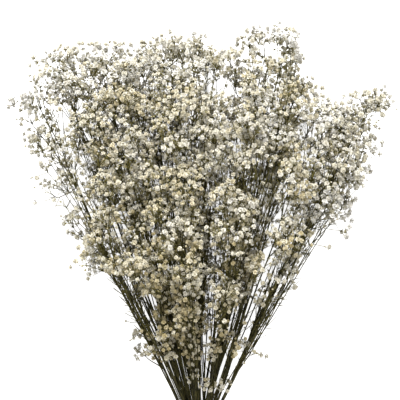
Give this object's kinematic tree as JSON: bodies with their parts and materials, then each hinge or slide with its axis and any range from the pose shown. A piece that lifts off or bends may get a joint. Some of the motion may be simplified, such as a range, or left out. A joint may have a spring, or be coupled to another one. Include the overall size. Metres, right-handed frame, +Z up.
{
  "type": "dried gypsophila bunch",
  "caption": "Gathered bunch of thin dried stems that fork into an airy fan of small ball-like florets, bound with twine and lying flat on a surface.",
  "frame": {"origin": "on the surface that the bunch lies on, under the middle of its box", "axes": "+Y along the stems from their cut ends to the florets, +Z up from the surface, +X to the right seen from above with the florets at the top"},
  "size_m": [0.4274, 0.6254, 0.1802],
  "materials": {
    "dried_stem": "dry, dull olive brown bark",
    "floret": "dry, papery cream petals",
    "jute_twine": "coarse plied fibre"
  },
  "bodies": {
    "root": {"stem_low_1": "dried_stem", "stem_low_2": "dried_stem", "stem_low_3": "dried_stem", "stem_low_4": "dried_stem", "stem_mid_1": "dried_stem", "stem_mid_2": "dried_stem", "stem_mid_3": "dried_stem", "stem_mid_4": "dried_stem", "stem_mid_5": "dried_stem", "stem_top_1": "dried_stem", "stem_top_2": "dried_stem", "stem_top_3": "dried_stem", "stem_top_4": "dried_stem", "tie": "jute_twine"}
  },
  "joints": []
}
